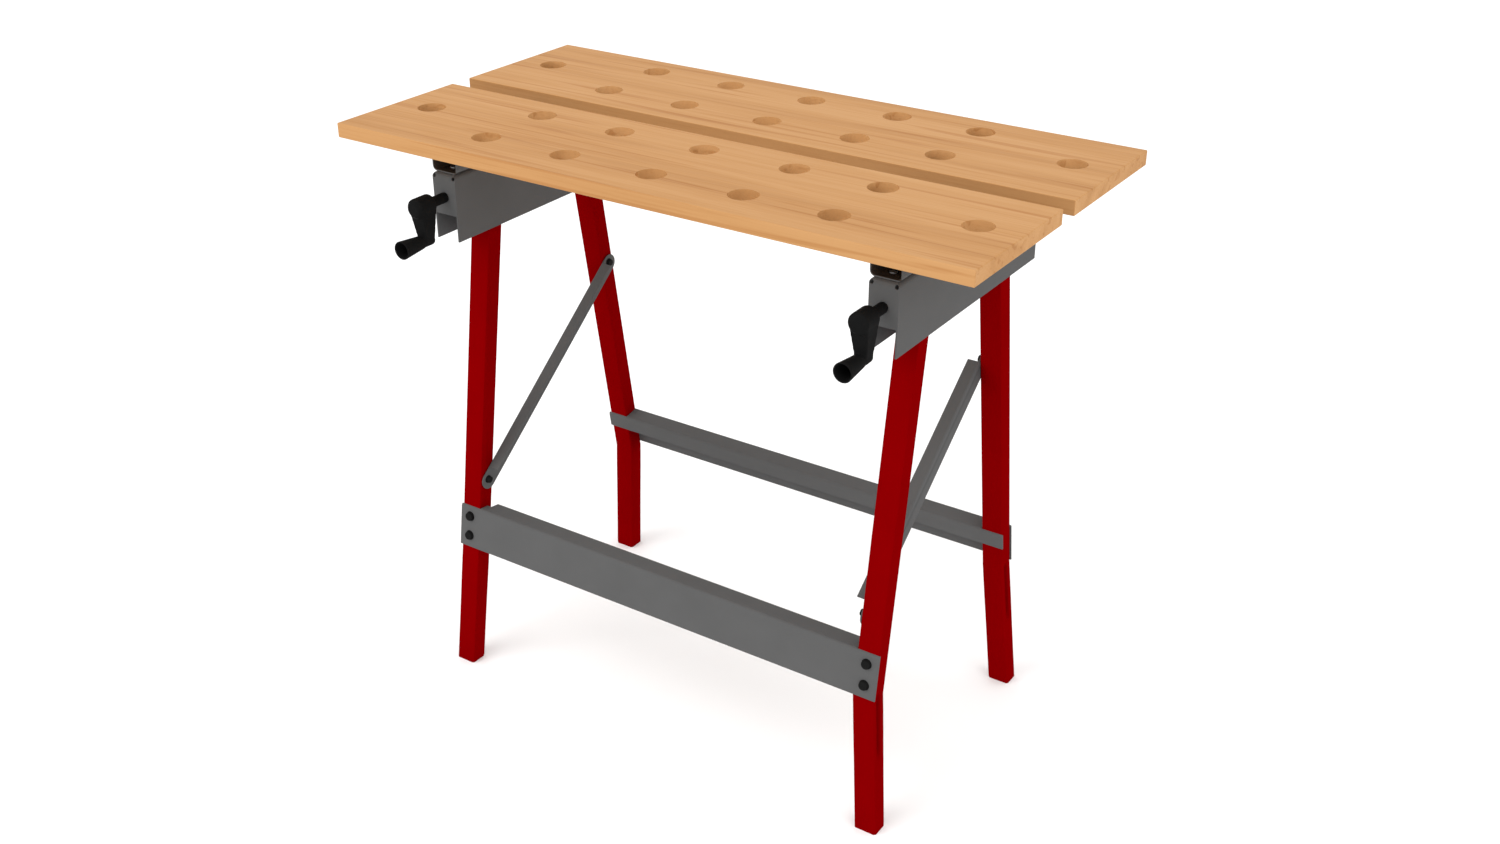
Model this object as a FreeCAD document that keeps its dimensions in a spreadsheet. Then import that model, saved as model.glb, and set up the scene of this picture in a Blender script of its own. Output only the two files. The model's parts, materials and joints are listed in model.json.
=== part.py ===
import FreeCAD, Part
import math
import os
import re

import Sketcher

# A folding clamping workbench: two slotted jaw boards on a pair of pressed vice housings,
# carried by two leg frames that pivot inside the housings and are held apart by two braces.
# Millimetres.  +X is to the right, +Y to the rear, +Z up; the feet stand on z = 0.
# Every y dimension below is measured from the middle of the clamping gap at rest, and the
# origin lies gap_centre_y in front of that line, in the middle of the object's depth.

DIMENSIONS = {
    # jaw boards
    "gap_centre_y": 18.0,
    "jaw_gap": 32.5,
    "board_length": 890.0,
    "board_depth": 212.5,
    "board_thickness": 19.0,
    "board_round": 1.5,
    "top_height": 789.5,
    "dog_radius": 18.5,
    "dog_x_1": -249.0,
    "dog_x_2": -125.5,
    "dog_x_3": 1.5,
    "dog_x_4": 129.0,
    "dog_x_5": 246.5,
    "dog_rear_row": 59.5,
    "dog_front_row": -47.5,
    "dog_end_x": 391.0,
    "dog_end_y": 8.5,
    "pilot_radius": 2.1,
    "pilot_depth": 15.0,
    # vice housings, folded from sheet
    "line_x": 316.5,
    "sheet": 2.0,
    "housing_width": 37.0,
    "housing_length": 355.0,
    "housing_front": -180.8,
    "housing_top": 733.4,
    "side_plate_foot": 644.8,
    "front_plate_foot": 678.9,
    "housing_bend": 6.5,
    "relief_radius": 2.5,
    "relief_x": 15.5,
    "relief_drop": 5.0,
    # jaw carriers, rectangular tube
    "carrier_width": 40.5,
    "carrier_length": 154.0,
    "carrier_corner": 7.0,
    "front_carrier_start": -177.0,
    "rear_carrier_start": 20.1,
    "slide_gap": 0.3,
    "access_radius": 6.0,
    "screw_spacing": 80.0,
    "wood_head_radius": 4.0,
    "wood_head_length": 2.5,
    "rivet_y": -142.5,
    "rivet_spacing": 35.0,
    "rivet_radius": 3.0,
    "rivet_head_radius": 5.0,
    "rivet_head_length": 1.8,
    # slide bars and jaw nuts
    "bar_width": 20.0,
    "bar_thickness": 5.0,
    "bar_length": 131.0,
    "pad_width": 12.0,
    "pad_length": 36.0,
    "pad_setback": 1.0,
    "slot_width": 12.6,
    "slot_margin": 4.0,
    "jaw_closing": 32.2,
    "jaw_opening": 98.0,
    "nut_y": -60.0,
    "nut_length": 22.0,
    "nut_width": 20.0,
    "nut_foot": 691.0,
    "machine_screw_radius": 2.5,
    "machine_head_radius": 4.5,
    "machine_head_length": 3.0,
    "bar_screw_spacing": 14.0,
    "bar_screw_depth": 7.0,
    "nut_screw_spacing": 11.0,
    "nut_screw_depth": 12.0,
    # lead screws and cranks
    "screw_height": 702.2,
    "screw_radius": 5.0,
    "screw_end": 52.0,
    "running_fit": 0.05,
    "bush_radius": 6.2,
    "bush_flange_radius": 9.0,
    "collar_radius": 8.5,
    "collar_length": 6.0,
    "neck_radius": 6.8,
    "neck_front": 25.2,
    "hub_radius": 13.0,
    "hub_front": 57.5,
    "hub_shoulder": 4.0,
    "screw_socket": 50.0,
    "crank_radius": 45.0,
    "arm_root_width": 25.0,
    "arm_tip_width": 15.0,
    "arm_root_back": 28.2,
    "arm_root_front": 53.5,
    "arm_tip_back": 31.2,
    "arm_tip_front": 46.2,
    "arm_tip_radius": 8.0,
    "grip_start": 49.0,
    "grip_end": 84.0,
    "grip_floor": 60.0,
    "grip_small_radius": 8.6,
    "grip_large_radius": 12.0,
    "grip_wall": 1.8,
    "axle_radius": 3.0,
    "axle_head_radius": 5.5,
    "axle_head_length": 3.0,
    # legs, rectangular tube with one crushed bend
    "leg_width": 30.0,
    "leg_depth": 24.0,
    "leg_wall": 1.5,
    "bend_height": 190.0,
    "foot_x": 333.1,
    "front_lean": -8.9,
    "front_pivot_y": -106.2,
    "front_pivot_z": 660.0,
    "front_foot_y": -193.0,
    "rear_lean": 9.26,
    "rear_pivot_y": 88.8,
    "rear_pivot_z": 712.0,
    "rear_foot_y": 186.5,
    "plug_depth": 14.0,
    "plug_gap": 0.1,
    "pin_radius": 4.0,
    "washer_radius": 9.0,
    "washer_thickness": 1.2,
    # cross members, folded from sheet
    "member_length": 666.0,
    "member_height": 61.4,
    "member_lip": 24.0,
    "front_member_reach": 20.0,
    "rear_member_reach": 14.0,
    "member_bend": 4.0,
    "member_notch": 300.6,
    "relief_start": 293.9,
    "relief_from_middle": 3.0,
    "front_member_z": 220.8,
    "rear_member_z": 224.9,
    "member_bolt_drop": -0.8,
    "member_bolt_spacing": 28.7,
    "member_bolt_radius": 3.0,
    "member_head_radius": 7.0,
    "member_head_length": 4.0,
    "rivet_nut_radius": 4.5,
    "rivet_nut_length": 12.0,
    # braces, folded angle
    "brace_thickness": 2.4,
    "brace_height": 26.0,
    "brace_drop": 3.0,
    "brace_web": 16.5,
    "brace_bend": 2.0,
    "brace_outer_x": 301.2,
    "brace_web_start": 14.0,
    "brace_web_back": 9.0,
    "brace_lower_z": 291.9,
    "brace_upper_z": 517.5,
    "brace_head_radius": 5.5,
    "brace_head_length": 4.5,
    "brace_bolt_reach": 4.0,
}

SIDES = (("left", -1), ("right", 1))
SIDEWAYS = FreeCAD.Vector(1, 0, 0)
REARWARD = FreeCAD.Vector(0, 1, 0)
UPWARD = FreeCAD.Vector(0, 0, 1)

doc = FreeCAD.newDocument("workbench")
sheet = doc.addObject("Spreadsheet::Sheet", "dims")
for row, (alias, size) in enumerate(DIMENSIONS.items(), start=1):
    sheet.set(f"A{row}", alias)
    sheet.set(f"B{row}", str(size))
    sheet.setAlias(f"B{row}", alias)
doc.recompute()

pieces = []


def ref(text):
    """The expression with every dimension's name pointing at its cell."""
    return re.sub(r"[a-z]\w*", lambda word: f"dims.{word[0]}" if word[0] in DIMENSIONS else word[0], text)


def size_of(text):
    """The present value of an expression over the dimensions."""
    return float(sheet.evalExpression(ref(text)))


def bind(item, **texts):
    for name, text in texts.items():
        item.setExpression(name, ref(text))


def piece(item, label):
    item.Label = label
    pieces.append(item)
    return item


def place(item, x, y, z, turn=FreeCAD.Rotation()):
    """Put an item at x, z and y (from the middle of the clamping gap), given as expressions."""
    spot = FreeCAD.Vector(size_of(x), size_of(f"gap_centre_y + {y}"), size_of(z))
    item.Placement = FreeCAD.Placement(spot, turn)
    return item


# ---- sketches and features of a PartDesign body ----


def new_body(label):
    return piece(doc.addObject("PartDesign::Body", label), label)


def sketch_on(body, role, name):
    sketch = body.newObject("Sketcher::SketchObject", name)
    plane = [part for part in body.Origin.OriginFeatures if part.Role == role][0]
    sketch.AttachmentSupport = (plane, [""])
    sketch.MapMode = "FlatFace"
    return sketch


def hold_point(sketch, geometry, position, point):
    """Dimension one point of a sketch from its origin, both ways."""
    for kind, text in zip(("DistanceX", "DistanceY"), point):
        index = sketch.addConstraint(Sketcher.Constraint(kind, -1, 1, geometry, position, size_of(text)))
        sketch.setExpression(f"Constraints[{index}]", ref(text))


def add_polygon(sketch, points):
    corners = [FreeCAD.Vector(size_of(a), size_of(b), 0) for a, b in points]
    first = sketch.GeometryCount
    count = len(corners)
    for i in range(count):
        sketch.addGeometry(Part.LineSegment(corners[i], corners[(i + 1) % count]))
    for i in range(count):
        sketch.addConstraint(Sketcher.Constraint("Coincident", first + i, 2, first + (i + 1) % count, 1))
    for i, point in enumerate(points):
        hold_point(sketch, first + i, 1, point)


def add_rectangle(sketch, low, high):
    (x0, y0), (x1, y1) = low, high
    add_polygon(sketch, [(x0, y0), (x1, y0), (x1, y1), (x0, y1)])


def add_circle(sketch, centre, radius):
    middle = FreeCAD.Vector(size_of(centre[0]), size_of(centre[1]), 0)
    index = sketch.addGeometry(Part.Circle(middle, FreeCAD.Vector(0, 0, 1), size_of(radius)))
    hold_point(sketch, index, 3, centre)
    constraint = sketch.addConstraint(Sketcher.Constraint("Radius", index, size_of(radius)))
    sketch.setExpression(f"Constraints[{constraint}]", ref(radius))


def pad(body, sketch, length, reverse=False, middle=False):
    feature = body.newObject("PartDesign::Pad", f"{sketch.Name}_pad")
    feature.Profile = sketch
    feature.Reversed = reverse
    feature.Midplane = middle
    bind(feature, Length=length)
    doc.recompute()
    return feature


def pocket(body, sketch, length, reverse=False, middle=False):
    """Cut a sketch out of the body, and make sure that it removes material."""
    before = body.Shape.Volume
    feature = body.newObject("PartDesign::Pocket", f"{sketch.Name}_pocket")
    feature.Profile = sketch
    feature.Reversed = reverse
    feature.Midplane = middle
    bind(feature, Length=length)
    doc.recompute()
    if not body.Shape.Volume < before - 0.01:
        raise RuntimeError(f"{body.Label}: {sketch.Name} removes nothing")
    return feature


def revolve(body, sketch):
    feature = body.newObject("PartDesign::Revolution", f"{sketch.Name}_turned")
    feature.Profile = sketch
    feature.ReferenceAxis = (sketch, ["H_Axis"])
    feature.Angle = 360
    doc.recompute()
    return feature


def loft(body, kind, sections, name):
    feature = body.newObject(f"PartDesign::{kind}Loft", name)
    feature.Profile = sections[0]
    feature.Sections = sections[1:]
    feature.Ruled = True
    doc.recompute()
    return feature


def round_edges(body, radius, wanted):
    """Fillet the edges of the body whose mid-point and direction satisfy wanted."""
    base = body.Tip
    names = []
    for number, edge in enumerate(base.Shape.Edges, start=1):
        middle = (edge.valueAt(edge.FirstParameter) + edge.valueAt(edge.LastParameter)) * 0.5
        along = edge.valueAt(edge.LastParameter) - edge.valueAt(edge.FirstParameter)
        if along.Length > 0.5 and wanted(middle, along.normalize()):
            names.append(f"Edge{number}")
    if not names:
        raise RuntimeError(f"{body.Label}: no edge to round")
    feature = body.newObject("PartDesign::Fillet", f"{body.Name}_round")
    feature.Base = (base, names)
    bind(feature, Radius=radius)
    doc.recompute()
    return feature


def close(a, b):
    return abs(a - b) < 0.05


def hollow(body, is_open):
    """Turn a solid into walls one sheet thick, without the flat faces whose normal is_open picks."""
    base = body.Tip
    feature = body.newObject("PartDesign::Thickness", f"{body.Name}_walls")
    faces = []
    for number, face in enumerate(base.Shape.Faces, start=1):
        if is_open(face.normalAt(0, 0)):
            faces.append(f"Face{number}")
    feature.Base = (base, faces)
    feature.Reversed = True
    bind(feature, Value="sheet")
    doc.recompute()


# ---- turned pieces and fasteners from primitives ----


def cylinder(name, radius, length, start=None):
    """A cylinder about its own Z axis, from start upwards."""
    item = doc.addObject("Part::Cylinder", name)
    bind(item, Radius=radius, Height=length)
    if start:
        item.setExpression("Placement.Base.z", ref(start))
    return item


def fused(name, *parts):
    item = doc.addObject("Part::MultiFuse", name)
    item.Shapes = list(parts)
    return item


def cut(name, base, tool):
    item = doc.addObject("Part::Cut", name)
    item.Base = base
    item.Tool = tool
    return item


def ring(name, outer, inner, length):
    return cut(name, cylinder(f"{name}_outer", outer, length), cylinder(f"{name}_bore", inner, length))


def headed(name, shank, length, head, head_length):
    """A pin along +Z from the underside of its head, which tapers a little and lies below zero."""
    dome = doc.addObject("Part::Cone", f"{name}_head")
    bind(dome, Radius1=f"0.8 * ({head})", Radius2=head, Height=head_length)
    dome.setExpression("Placement.Base.z", ref(f"-({head_length})"))
    return fused(name, cylinder(f"{name}_shank", shank, length), dome)


def pointing(direction):
    return FreeCAD.Rotation(UPWARD, direction)


def group(label, members):
    item = doc.addObject("Part::Compound", label)
    item.Links = members
    return piece(item, label)


# ---- jaw boards ----


def jaw_board(label, centre_y, carrier_centre):
    """One board with twelve dog holes and blind pilot holes for its screws."""
    body = new_body(label)
    blank = sketch_on(body, "XY_Plane", f"{label}_blank")
    corner = ("board_length / 2", "board_depth / 2")
    add_rectangle(blank, ("-board_length / 2", "-board_depth / 2"), corner)
    pad(body, blank, "board_thickness")
    round_edges(body, "board_round", lambda middle, along: True)
    holes = sketch_on(body, "XY_Plane", f"{label}_dog_holes")
    for row in ("dog_rear_row", "dog_front_row"):
        for column in range(1, 6):
            add_circle(holes, (f"dog_x_{column}", row), "dog_radius")
    for end in (-1, 1):
        add_circle(holes, (f"{end} * dog_end_x", "dog_end_y"), "dog_radius")
    pocket(body, holes, "board_thickness", reverse=True)
    pilots = sketch_on(body, "XY_Plane", f"{label}_pilots")
    for end in (-1, 1):
        for step in (-1, 1):
            y = f"{carrier_centre} - ({centre_y}) + {step} * screw_spacing / 2"
            add_circle(pilots, (f"{end} * line_x", y), "pilot_radius")
    pocket(body, pilots, "pilot_depth", reverse=True)
    place(body, "0", f"({centre_y})", "top_height - board_thickness")


FRONT_CARRIER = "(front_carrier_start + carrier_length / 2)"
REAR_CARRIER = "(rear_carrier_start + carrier_length / 2)"
CARRIER_FOOT = "(housing_top + slide_gap)"
CARRIER_ROOF = "(top_height - board_thickness)"

jaw_board("front_jaw_board", "-(jaw_gap + board_depth) / 2", FRONT_CARRIER)
jaw_board("rear_jaw_board", "(jaw_gap + board_depth) / 2", REAR_CARRIER)


WOOD_HEAD = ("wood_head_radius", "wood_head_length")


def wood_screws(label, carrier_centre):
    """Pan-head screws that come up through the roof of the carriers into a board."""
    members = []
    for side, sign in SIDES:
        for step in (-1, 1):
            screw = headed(f"{label}_{side}_{step + 1}", "pilot_radius", "pilot_depth + sheet", *WOOD_HEAD)
            y = f"{carrier_centre} + {step} * screw_spacing / 2"
            members.append(place(screw, f"{sign} * line_x", y, f"{CARRIER_ROOF} - sheet"))
    group(label, members)


wood_screws("front_jaw_screws", FRONT_CARRIER)
wood_screws("rear_jaw_screws", REAR_CARRIER)


# ---- vice housings ----


def vice_housing(side, sign):
    """An inverted channel with a front plate, a slot along its roof and four pin holes."""
    body = new_body(f"{side}_vice_housing")
    half = "housing_width / 2"
    block = sketch_on(body, "XZ_Plane", f"{side}_housing_block")
    add_rectangle(block, (f"-{half}", "side_plate_foot"), (half, "housing_top"))
    pad(body, block, "housing_length", reverse=True)
    top = size_of("housing_top")
    length = size_of("housing_length")

    def roof_edge(middle, along):
        return close(middle.z, top) and not close(middle.y, length)

    round_edges(body, "housing_bend", roof_edge)
    hollow(body, lambda normal: close(normal.z, -1) or close(normal.y, 1))
    mouth = sketch_on(body, "XZ_Plane", f"{side}_front_plate_cut")
    inner = "(housing_width / 2 - sheet)"
    add_rectangle(mouth, (f"-{inner}", "side_plate_foot"), (inner, "front_plate_foot"))
    pocket(body, mouth, "2 * sheet")
    front_holes = sketch_on(body, "XZ_Plane", f"{side}_front_holes")
    add_circle(front_holes, ("0", "screw_height"), "bush_radius")
    for end in (-1, 1):
        add_circle(front_holes, (f"{end} * relief_x", "housing_top - relief_drop"), "relief_radius")
    pocket(body, front_holes, "2 * sheet")
    pin_holes = sketch_on(body, "YZ_Plane", f"{side}_pin_holes")
    for leg in ("front", "rear"):
        add_circle(pin_holes, (f"{leg}_pivot_y - housing_front", f"{leg}_pivot_z"), "pin_radius")
    pocket(body, pin_holes, "housing_width", middle=True)
    slot = sketch_on(body, "XY_Plane", f"{side}_roof_openings")
    slot_start = "rear_carrier_start - jaw_closing - slide_gap - housing_front"
    slot_end = "rear_carrier_start + pad_length + jaw_opening + slot_margin - housing_front"
    add_rectangle(slot, ("-slot_width / 2", slot_start), ("slot_width / 2", slot_end))
    for step in (-1, 1):
        add_circle(slot, ("0", f"rivet_y + {step} * rivet_spacing / 2 - housing_front"), "rivet_radius")
    pocket(body, slot, "housing_top", reverse=True)
    place(body, f"{sign} * line_x", "housing_front", "0")


def jaw_carrier(label, sign, start, foot, floor_holes):
    """A rectangular tube between a housing and a board, with screw holes in its roof and floor."""
    body = new_body(label)
    height = f"({CARRIER_ROOF} - {foot})"
    half = "carrier_width / 2"
    tube = sketch_on(body, "XZ_Plane", f"{label}_tube")
    add_rectangle(tube, (f"-{half}", "0"), (half, height))
    pad(body, tube, "carrier_length", reverse=True)
    round_edges(body, "carrier_corner", lambda middle, along: close(abs(along.y), 1))
    hollow(body, lambda normal: close(abs(normal.y), 1))
    roof = sketch_on(body, "XY_Plane", f"{label}_roof_holes")
    floor = sketch_on(body, "XY_Plane", f"{label}_floor_holes")
    for step in (-1, 1):
        y = f"carrier_length / 2 + {step} * screw_spacing / 2"
        add_circle(roof, ("0", y), "pilot_radius")
        add_circle(floor, ("0", y), "access_radius")
    for y, radius in floor_holes:
        add_circle(floor, ("0", y), radius)
    pocket(body, roof, height, reverse=True)
    pocket(body, floor, "sheet", reverse=True)
    place(body, f"{sign} * line_x", start, foot)


BAR_TOP = "(housing_top - sheet - slide_gap)"
BAR_FOOT = f"({BAR_TOP} - bar_thickness)"
BAR_START = "(nut_y - nut_length / 2)"


def slide_bar(side, sign):
    """A flat bar under the roof of the housing; its pad rises through the slot to the carrier."""
    body = new_body(f"{side}_slide_bar")
    bar = sketch_on(body, "XY_Plane", f"{side}_bar")
    add_rectangle(bar, ("-bar_width / 2", "0"), ("bar_width / 2", "bar_length"))
    pad(body, bar, "bar_thickness")
    raised = sketch_on(body, "XY_Plane", f"{side}_bar_pad")
    pad_start = f"rear_carrier_start + pad_setback - {BAR_START}"
    add_rectangle(raised, ("-pad_width / 2", pad_start), ("pad_width / 2", f"{pad_start} + pad_length"))
    pad(body, raised, f"{CARRIER_FOOT} - {BAR_FOOT}")
    holes = sketch_on(body, "XY_Plane", f"{side}_bar_holes")
    heads = sketch_on(body, "XY_Plane", f"{side}_bar_head_seats")
    for step in (-1, 1):
        over_nut = ("0", f"nut_length / 2 + {step} * nut_screw_spacing / 2")
        in_pad = ("0", f"{pad_start} + pad_length / 2 + {step} * bar_screw_spacing / 2")
        add_circle(holes, over_nut, "machine_screw_radius")
        add_circle(holes, in_pad, "machine_screw_radius")
        add_circle(heads, over_nut, "machine_head_radius")
    pocket(body, holes, f"{CARRIER_FOOT} - {BAR_FOOT}", reverse=True)
    heads.setExpression("AttachmentOffset.Base.z", ref("bar_thickness / 2"))
    pocket(body, heads, "bar_thickness", reverse=True)
    place(body, f"{sign} * line_x", BAR_START, BAR_FOOT)


def jaw_nut(side, sign):
    """A threaded block that the lead screw drives, screwed up against the slide bar."""
    body = new_body(f"{side}_jaw_nut")
    block = sketch_on(body, "XY_Plane", f"{side}_nut_block")
    add_rectangle(block, ("-nut_width / 2", "-nut_length / 2"), ("nut_width / 2", "nut_length / 2"))
    pad(body, block, f"{BAR_FOOT} - nut_foot")
    bore = sketch_on(body, "XZ_Plane", f"{side}_nut_bore")
    add_circle(bore, ("0", "screw_height - nut_foot"), "screw_radius + running_fit")
    pocket(body, bore, "nut_length", middle=True)
    taps = sketch_on(body, "XY_Plane", f"{side}_nut_taps")
    taps.setExpression("AttachmentOffset.Base.z", ref(f"{BAR_FOOT} - nut_foot"))
    for step in (-1, 1):
        add_circle(taps, ("0", f"{step} * nut_screw_spacing / 2"), "machine_screw_radius")
    pocket(body, taps, "nut_screw_depth")
    place(body, f"{sign} * line_x", "nut_y", "nut_foot")


RIVET_HOLES = []
BAR_BOLT_HOLES = []
for step in (-1, 1):
    RIVET_HOLES.append((f"rivet_y - front_carrier_start + {step} * rivet_spacing / 2", "rivet_radius"))
    over_pad = f"pad_setback + pad_length / 2 + {step} * bar_screw_spacing / 2"
    BAR_BOLT_HOLES.append((over_pad, "machine_screw_radius"))

for side, sign in SIDES:
    vice_housing(side, sign)
    jaw_carrier(f"front_{side}_jaw_carrier", sign, "front_carrier_start", "housing_top", RIVET_HOLES)
    jaw_carrier(f"rear_{side}_jaw_carrier", sign, "rear_carrier_start", CARRIER_FOOT, BAR_BOLT_HOLES)
    slide_bar(side, sign)
    jaw_nut(side, sign)

rivets = []
bar_bolts = []
nut_screws = []
for side, sign in SIDES:
    x = f"{sign} * line_x"
    for step in (-1, 1):
        end = f"{side}_{step + 1}"
        shank = cylinder(f"rivet_{end}_shank", "rivet_radius", "2 * sheet")
        upper = cylinder(f"rivet_{end}_upper_head", "rivet_head_radius", "rivet_head_length", "2 * sheet")
        lower = cylinder(
            f"rivet_{end}_lower_head", "rivet_head_radius", "rivet_head_length", "-rivet_head_length"
        )
        rivet = fused(f"rivet_{end}", shank, upper, lower)
        rivets.append(place(rivet, x, f"rivet_y + {step} * rivet_spacing / 2", "housing_top - sheet"))
        bolt = headed(
            f"bar_bolt_{end}",
            "machine_screw_radius",
            "sheet + bar_screw_depth",
            "machine_head_radius",
            "machine_head_length",
        )
        y = f"rear_carrier_start + pad_setback + pad_length / 2 + {step} * bar_screw_spacing / 2"
        bar_bolts.append(place(bolt, x, y, f"{CARRIER_FOOT} + sheet", pointing(-UPWARD)))
        screw = headed(
            f"nut_screw_{end}",
            "machine_screw_radius",
            "bar_thickness / 2 + nut_screw_depth",
            "machine_head_radius",
            "bar_thickness / 2",
        )
        y = f"nut_y + {step} * nut_screw_spacing / 2"
        nut_screws.append(place(screw, x, y, f"{BAR_FOOT} + bar_thickness / 2", pointing(-UPWARD)))
group("front_carrier_rivets", rivets)
group("slide_bar_bolts", bar_bolts)
group("jaw_nut_screws", nut_screws)


# ---- lead screws, cranks and grips ----


def crank_arm(side, sign):
    """Neck, hub and tapering arm in one moulding; the screw is moulded into the hub."""
    body = new_body(f"{side}_crank_arm")
    hub = sketch_on(body, "YZ_Plane", f"{side}_hub")
    add_polygon(
        hub,
        [
            ("-slide_gap", "0"),
            ("-slide_gap", "neck_radius"),
            ("-neck_front", "neck_radius"),
            ("-neck_front - hub_shoulder", "hub_radius"),
            ("-hub_front + hub_shoulder", "hub_radius"),
            ("-hub_front", "hub_radius - hub_shoulder"),
            ("-hub_front", "0"),
        ],
    )
    revolve(body, hub)
    root = sketch_on(body, "XY_Plane", f"{side}_arm_root")
    add_rectangle(root, ("-arm_root_width / 2", "-arm_root_front"), ("arm_root_width / 2", "-arm_root_back"))
    end = sketch_on(body, "XY_Plane", f"{side}_arm_end")
    end.setExpression("AttachmentOffset.Base.z", ref("-crank_radius"))
    add_rectangle(end, ("-arm_tip_width / 2", "-arm_tip_front"), ("arm_tip_width / 2", "-arm_tip_back"))
    loft(body, "Additive", [root, end], f"{side}_arm")
    tip = sketch_on(body, "XZ_Plane", f"{side}_arm_tip")
    tip.setExpression("AttachmentOffset.Base.z", ref("arm_tip_back"))
    add_circle(tip, ("0", "-crank_radius"), "arm_tip_radius")
    pad(body, tip, "grip_start - slide_gap - arm_tip_back")
    bore = sketch_on(body, "XZ_Plane", f"{side}_screw_socket")
    add_circle(bore, ("0", "0"), "screw_radius")
    pocket(body, bore, "screw_socket", reverse=True)
    hole = sketch_on(body, "XZ_Plane", f"{side}_axle_hole")
    add_circle(hole, ("0", "-crank_radius"), "axle_radius")
    pocket(body, hole, "hub_front", reverse=True)
    place(body, f"{sign} * line_x", "housing_front", "screw_height")


def crank_grip(side, sign):
    """A hollow conical grip, open at the front, that spins on the axle through its floor."""
    body = new_body(f"{side}_crank_grip")
    profile = sketch_on(body, "YZ_Plane", f"{side}_grip")
    taper = "((grip_floor - grip_start) / (grip_end - grip_start))"
    floor_radius = f"grip_small_radius + (grip_large_radius - grip_small_radius) * {taper} - grip_wall"
    add_polygon(
        profile,
        [
            ("-grip_start", "axle_radius + running_fit"),
            ("-grip_start", "grip_small_radius"),
            ("-grip_end", "grip_large_radius"),
            ("-grip_end", "grip_large_radius - grip_wall"),
            ("-grip_floor", floor_radius),
            ("-grip_floor", "axle_radius + running_fit"),
        ],
    )
    revolve(body, profile)
    place(body, f"{sign} * line_x", "housing_front", "screw_height - crank_radius")


for side, sign in SIDES:
    x = f"{sign} * line_x"
    crank_arm(side, sign)
    crank_grip(side, sign)
    thread = cylinder(f"{side}_lead_screw", "screw_radius", "screw_socket + screw_end - housing_front")
    thread_y = "housing_front - screw_socket"
    place(piece(thread, f"{side}_lead_screw"), x, thread_y, "screw_height", pointing(REARWARD))
    axle_length = "grip_floor + slide_gap - arm_tip_back"
    axle = headed(f"{side}_grip_axle", "axle_radius", axle_length, "axle_head_radius", "axle_head_length")
    axle_y = "housing_front - grip_floor - slide_gap"
    place(piece(axle, f"{side}_grip_axle"), x, axle_y, "screw_height - crank_radius", pointing(REARWARD))
    barrel = cylinder(f"{side}_bush_barrel", "bush_radius", "2 * sheet")
    flange = cylinder(f"{side}_bush_flange", "bush_flange_radius", "sheet", "sheet")
    bore = cylinder(f"{side}_bush_bore", "screw_radius + running_fit", "2 * sheet")
    bush = cut(f"{side}_screw_bush", fused(f"{side}_bush_blank", barrel, flange), bore)
    place(piece(bush, f"{side}_screw_bush"), x, "housing_front", "screw_height", pointing(REARWARD))
    collar = ring(f"{side}_screw_collar", "collar_radius", "screw_radius", "collar_length")
    collar_y = "housing_front + 2 * sheet + slide_gap"
    place(piece(collar, f"{side}_screw_collar"), x, collar_y, "screw_height", pointing(REARWARD))


# ---- legs ----


def along_leg(leg, height):
    """Distance from the pivot down the leg to a height above the floor."""
    return f"(({leg}_pivot_z - ({height})) / cos({leg}_lean))"


def leg_y(leg, height):
    """Where a leg's centre line stands at a height."""
    return f"({leg}_pivot_y + ({leg}_pivot_z - ({height})) * tan({leg}_lean))"


def lean_of(leg):
    return FreeCAD.Rotation(SIDEWAYS, size_of(f"{leg}_lean"))


def on_leg_line(item, leg, x, height, turn=FreeCAD.Rotation()):
    """Put an item on a leg's centre line at a height, turned with the leg."""
    return place(item, x, leg_y(leg, height), height, lean_of(leg).multiply(turn))


def leg_sections(body, leg, side, sign, inset, top, name):
    """Sections of a leg at its top, at its bend and at its foot, drawn about the pivot."""
    foot_y = f"({leg}_foot_y - {leg}_pivot_y) * cos({leg}_lean) - {leg}_pivot_z * sin({leg}_lean)"
    foot_z = f"-({leg}_foot_y - {leg}_pivot_y) * sin({leg}_lean) - {leg}_pivot_z * cos({leg}_lean)"
    spots = (
        ("top", "0", "0", top, "leg_depth / 2", False),
        ("bend", "0", "0", f"-{along_leg(leg, 'bend_height')}", f"leg_depth / 2 / cos({leg}_lean)", True),
        ("foot", f"{sign} * (foot_x - line_x)", foot_y, foot_z, "leg_depth / 2", True),
    )
    sections = []
    for where, x, y, z, half_depth, level in spots:
        section = sketch_on(body, "XY_Plane", f"{leg}_{side}_{name}_{where}")
        half_width = f"(leg_width / 2 - {inset})"
        half = f"({half_depth} - {inset})"
        add_rectangle(section, (f"-{half_width}", f"-{half}"), (half_width, half))
        turn = FreeCAD.Rotation(SIDEWAYS, -size_of(f"{leg}_lean")) if level else FreeCAD.Rotation()
        section.AttachmentOffset = FreeCAD.Placement(FreeCAD.Vector(), turn)
        for axis, text in zip("xyz", (x, y, z)):
            section.setExpression(f"AttachmentOffset.Base.{axis}", ref(text))
        sections.append(section)
    return sections


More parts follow.
